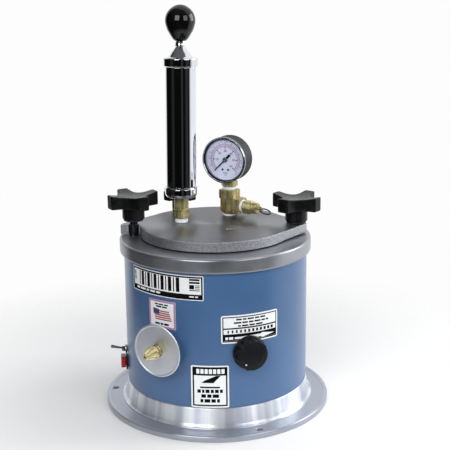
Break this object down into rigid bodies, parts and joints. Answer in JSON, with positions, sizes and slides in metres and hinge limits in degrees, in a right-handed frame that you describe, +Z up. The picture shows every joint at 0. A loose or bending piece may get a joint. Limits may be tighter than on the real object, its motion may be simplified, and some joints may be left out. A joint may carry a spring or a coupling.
{
  "type": "heated pressure pot",
  "caption": "Cylindrical heated pressure pot for wax or resin: flanged base, swing-away clamped lid, hand pump, dial gauge, relief valve, spring nozzle, thermostat knob and switch.",
  "frame": {"origin": "centre of the base flange's underside, on the pot's axis", "axes": "+Z up along the pot's axis; -Y is the front with the nozzle and controls; the lid studs stand on the X axis"},
  "size_m": [0.2528, 0.2528, 0.4406],
  "materials": {
    "spun_aluminium": "bright spun aluminium with fine turning lines",
    "cast_aluminium": "dull grey cast aluminium, machined on top",
    "blue_paint": "semi-gloss blue-grey stoved paint",
    "brass": "turned brass",
    "chrome": "polished chrome plate",
    "steel": "plated steel",
    "black_plastic": "black moulded phenolic",
    "black_rubber": "black rubber",
    "white_tape": "white thread-seal tape",
    "white_enamel": "white printed label stock",
    "dial_white": "white dial with a printed scale",
    "red_lens": "clear red plastic",
    "clear_glass": "clear window",
    "mineral_wool": "mineral fibre blanket",
    "phenolic_brown": "brown phenolic moulding",
    "grey_enamel": "dark grey enamel"
  },
  "bodies": {
    "pot": {"base_flange": "spun_aluminium", "bottom_plate": "steel", "outer_casing": "blue_paint", "top_flange": "cast_aluminium", "tank": "cast_aluminium", "heater_band": "steel", "insulation_sleeve": "mineral_wool", "lid_gasket": "black_rubber", "left_stud": "steel", "right_stud": "steel", "nozzle_body": "brass", "nozzle_shield": "spun_aluminium", "nozzle_locknut": "brass", "nozzle_spring": "steel", "thermostat_body": "phenolic_brown", "toggle_body": "chrome", "toggle_nut": "chrome", "lamp_bezel": "black_plastic", "lamp_lens": "red_lens", "cord_gland": "black_plastic", "rear_cover": "grey_enamel", "name_plate": "white_enamel", "small_sticker": "white_enamel", "scale_plate": "white_enamel", "notice_plate": "white_enamel"},
    "lid": {"lid": "cast_aluminium", "pump_adapter": "brass", "pump_tape": "white_tape", "pump_collar": "chrome", "pump_tube": "chrome", "pump_cap": "chrome", "check_valve": "black_rubber", "gauge_tee": "brass", "gauge_tape": "white_tape", "gauge_socket": "brass", "gauge_case": "grey_enamel", "gauge_bezel": "chrome", "gauge_dial": "dial_white", "gauge_lens": "clear_glass", "bourdon_tube": "brass", "relief_tape": "white_tape", "relief_valve_body": "brass"},
    "nozzle_tip": {"nozzle_tip": "brass"},
    "temperature_knob": {"temperature_knob": "black_plastic", "thermostat_shaft": "steel"},
    "toggle_lever": {"toggle_lever": "chrome"},
    "left_washer": {"left_washer": "steel"},
    "left_knob": {"left_knob": "black_plastic"},
    "right_washer": {"right_washer": "steel"},
    "right_knob": {"right_knob": "black_plastic"},
    "pump_rod": {"pump_rod": "chrome", "pump_piston": "brass", "piston_seal": "black_rubber", "knob_ferrule": "chrome", "pump_knob": "black_plastic"},
    "gauge_needle": {"gauge_needle": "black_plastic"},
    "relief_stem": {"relief_stem": "brass"},
    "relief_ring": {"relief_ring": "steel"},
    "vent_washer": {"vent_washer": "black_rubber"},
    "vent_knob": {"vent_knob": "black_plastic"}
  },
  "joints": [
    {"name": "lid_swing", "type": "hinge", "parent": "pot", "child": "lid", "pos_m": [0.0902, 0, 0.198], "axis": [0, 0, -1], "range_deg": [0, 130]},
    {"name": "left_knob_lift", "type": "slide", "parent": "pot", "child": "left_washer", "axis": [0, 0, 1], "range_m": [-0.0044, 0.0032]},
    {"name": "left_knob_turn", "type": "hinge", "parent": "left_washer", "child": "left_knob", "pos_m": [-0.0902, 0, 0.215], "axis": [0, 0, 1], "range_deg": [-990, 720]},
    {"name": "right_knob_lift", "type": "slide", "parent": "pot", "child": "right_washer", "axis": [0, 0, 1], "range_m": [0, 0.0044]},
    {"name": "right_knob_turn", "type": "hinge", "parent": "right_washer", "child": "right_knob", "pos_m": [0.0902, 0, 0.211], "axis": [0, 0, 1], "range_deg": [0, 990]},
    {"name": "vent_knob_lift", "type": "slide", "parent": "lid", "child": "vent_washer", "axis": [0, 0, 1], "range_m": [0, 0.0032]},
    {"name": "vent_knob_turn", "type": "hinge", "parent": "vent_washer", "child": "vent_knob", "pos_m": [-0.0401, 0.058, 0.211], "axis": [0, 0, 1], "range_deg": [0, 720]},
    {"name": "pump_stroke", "type": "slide", "parent": "lid", "child": "pump_rod", "axis": [0.0148, 0, 0.9999], "range_m": [0, 0.105]},
    {"name": "needle_turn", "type": "hinge", "parent": "lid", "child": "gauge_needle", "pos_m": [0.017, 0.0406, 0.269], "axis": [0.4226, 0.9063, 0], "range_deg": [0, 270], "stiffness_Nm_per_rad": 0.00005},
    {"name": "relief_pull", "type": "slide", "parent": "lid", "child": "relief_stem", "axis": [0.788, -0.6157, 0], "range_m": [0, 0.003], "stiffness_N_per_m": 500, "springref_m": -0.003},
    {"name": "relief_ring_swing", "type": "hinge", "parent": "relief_stem", "child": "relief_ring", "pos_m": [0.05167, 0.01351, 0.2155], "axis": [0.6157, 0.788, 0], "range_deg": [-60, 25]},
    {"name": "nozzle_push", "type": "slide", "parent": "pot", "child": "nozzle_tip", "axis": [0.5225, 0.8526, 0], "range_m": [0, 0.0028], "stiffness_N_per_m": 800, "springref_m": -0.004, "deforming": ["nozzle_spring"]},
    {"name": "temperature_turn", "type": "hinge", "parent": "pot", "child": "temperature_knob", "pos_m": [0, 0, 0.0887], "axis": [-0.3322, 0.9432, 0], "range_deg": [0, 300]},
    {"name": "toggle_flip", "type": "hinge", "parent": "pot", "child": "toggle_lever", "pos_m": [-0.10323, -0.01085, 0.0612], "axis": [0.1045, -0.9945, 0], "range_deg": [0, 26.6]}
  ],
  "couplings": [
    {"joint": "left_knob_lift", "follows": "left_knob_turn", "m_per_rad": 0.00025266},
    {"joint": "right_knob_lift", "follows": "right_knob_turn", "m_per_rad": 0.00025266},
    {"joint": "vent_knob_lift", "follows": "vent_knob_turn", "m_per_rad": 0.00025266}
  ]
}
